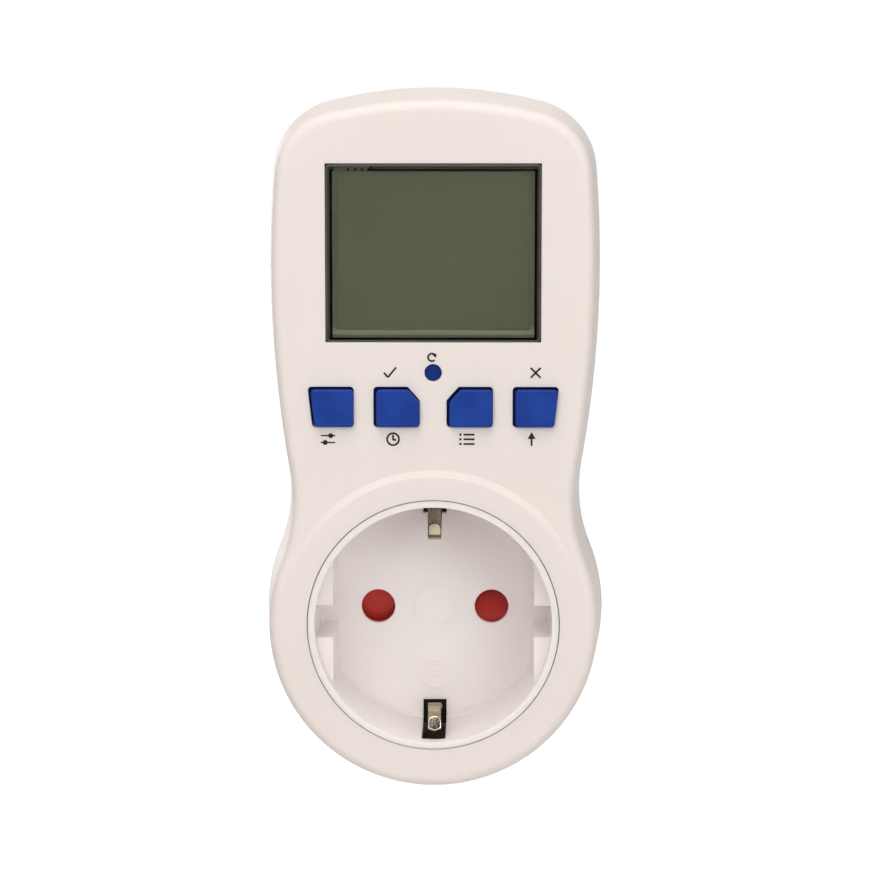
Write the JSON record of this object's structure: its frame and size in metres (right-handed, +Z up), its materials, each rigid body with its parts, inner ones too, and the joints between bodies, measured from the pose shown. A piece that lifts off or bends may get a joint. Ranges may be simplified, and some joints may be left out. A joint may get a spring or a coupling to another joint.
{
  "type": "plug-in timer switch",
  "caption": "Plug-in timer switch: case with blank display, keys, an earthed socket with safety shutter in front and a matching plug behind.",
  "frame": {"origin": "centre of the plug's end face, the face that meets the floor of the wall socket", "axes": "+Y into the wall, the way the plug's pins point; +Z up, towards the display end; +X to the right as seen from the front"},
  "size_m": [0.0562, 0.074, 0.1144],
  "materials": {
    "case_white": "white moulded plastic with a fine satin surface",
    "cup_white": "white moulded plastic, smooth",
    "window_clear": "clear plastic",
    "lcd_grey": "greenish grey liquid-crystal glass",
    "frame_black": "black",
    "key_blue": "satin blue silicone rubber",
    "rubber_grey": "silicone rubber",
    "board_green": "glass-fibre circuit board",
    "shutter_red": "red moulded plastic",
    "nickel": "nickel-plated brass",
    "brass_strip": "plain brass strip",
    "steel": "zinc-plated steel",
    "black_plastic": "black moulded plastic",
    "relay_blue": "blue moulded plastic",
    "film_yellow": "yellow moulded plastic",
    "can_black": "sleeved aluminium can",
    "disc_blue": "epoxy-dipped ceramic",
    "resistor_green": "lacquered ceramic",
    "cable_grey": "flat cable insulation"
  },
  "bodies": {
    "case": {"front_cover": "case_white", "rear_cover": "case_white", "plug_body": "cup_white", "socket_insert": "cup_white", "shutter_cover": "cup_white", "shutter_spring": "steel", "display_window": "window_clear", "display_gasket": "frame_black", "lcd_panel": "lcd_grey", "zebra_strips": "rubber_grey", "display_board": "board_green", "keypad_mat": "key_blue", "web_set": "key_blue", "web_clock": "key_blue", "web_program": "key_blue", "web_up": "key_blue", "web_reset": "key_blue", "line_pin": "nickel", "neutral_pin": "nickel", "line_contact": "brass_strip", "neutral_contact": "brass_strip", "line_bar_in": "brass_strip", "line_bar_out": "brass_strip", "neutral_bar": "brass_strip", "earth_strip_top": "nickel", "earth_strip_bottom": "nickel", "earth_bridge": "brass_strip", "earth_sleeve": "brass_strip", "pin_retainer": "black_plastic", "power_board": "board_green", "relay": "relay_blue", "dropper_capacitor": "film_yellow", "rectifier": "black_plastic", "smoothing_capacitor": "can_black", "varistor": "disc_blue", "fuse_resistor": "resistor_green", "backup_battery": "steel", "controller_chip": "black_plastic", "clock_crystal": "steel", "board_link": "cable_grey", "case_screws": "steel", "display_board_screws": "steel", "power_board_screws": "steel"},
    "key_set_body": {"key_set": "key_blue"},
    "key_clock_body": {"key_clock": "key_blue"},
    "key_program_body": {"key_program": "key_blue"},
    "key_up_body": {"key_up": "key_blue"},
    "key_reset_body": {"key_reset": "key_blue"},
    "shutter_body": {"shutter": "shutter_red"}
  },
  "joints": [
    {"name": "press_set", "type": "slide", "parent": "case", "child": "key_set_body", "axis": [0, 1, 0], "range_m": [0, 0.0008], "stiffness_N_per_m": 1200, "springref_m": -0.0004, "deforming": ["web_set"]},
    {"name": "press_clock", "type": "slide", "parent": "case", "child": "key_clock_body", "axis": [0, 1, 0], "range_m": [0, 0.0008], "stiffness_N_per_m": 1200, "springref_m": -0.0004, "deforming": ["web_clock"]},
    {"name": "press_program", "type": "slide", "parent": "case", "child": "key_program_body", "axis": [0, 1, 0], "range_m": [0, 0.0008], "stiffness_N_per_m": 1200, "springref_m": -0.0004, "deforming": ["web_program"]},
    {"name": "press_up", "type": "slide", "parent": "case", "child": "key_up_body", "axis": [0, 1, 0], "range_m": [0, 0.0008], "stiffness_N_per_m": 1200, "springref_m": -0.0004, "deforming": ["web_up"]},
    {"name": "press_reset", "type": "slide", "parent": "case", "child": "key_reset_body", "axis": [0, 1, 0], "range_m": [0, 0.0008], "stiffness_N_per_m": 1200, "springref_m": -0.0004, "deforming": ["web_reset"]},
    {"name": "shutter_turn", "type": "hinge", "parent": "case", "child": "shutter_body", "pos_m": [0, -0.0348, 0], "axis": [0, 1, 0], "range_deg": [0, 40], "stiffness_Nm_per_rad": 0.004, "springref_deg": -20.05, "deforming": ["shutter_spring"]}
  ]
}
